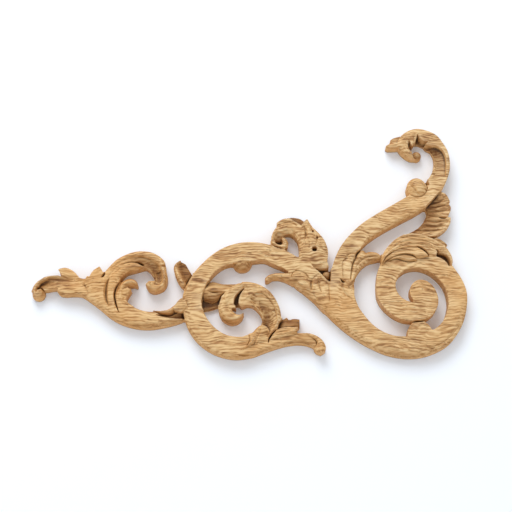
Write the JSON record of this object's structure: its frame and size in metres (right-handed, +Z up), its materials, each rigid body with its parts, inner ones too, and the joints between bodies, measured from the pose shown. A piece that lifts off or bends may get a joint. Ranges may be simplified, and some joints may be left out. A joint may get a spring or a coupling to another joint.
{
  "type": "carved corner onlay",
  "caption": "Flat-backed carved oak onlay: acanthus leaves and C scrolls run along one side and rise into a curl, for the corner of a frame, door or mantel.",
  "frame": {"origin": "on the flat back, behind the joint of the main stem, the upright stem and the big scroll", "axes": "+X to the right along the length, away from the tail leaf; +Y out of the flat back, into the wall that the part is fixed to, so the carved side faces -Y; +Z up along the upright stem"},
  "size_m": [0.4331, 0.0208, 0.241],
  "materials": {
    "oak": "sanded, unfinished"
  },
  "bodies": {
    "root": {"scroll_onlay": "oak"}
  },
  "joints": []
}
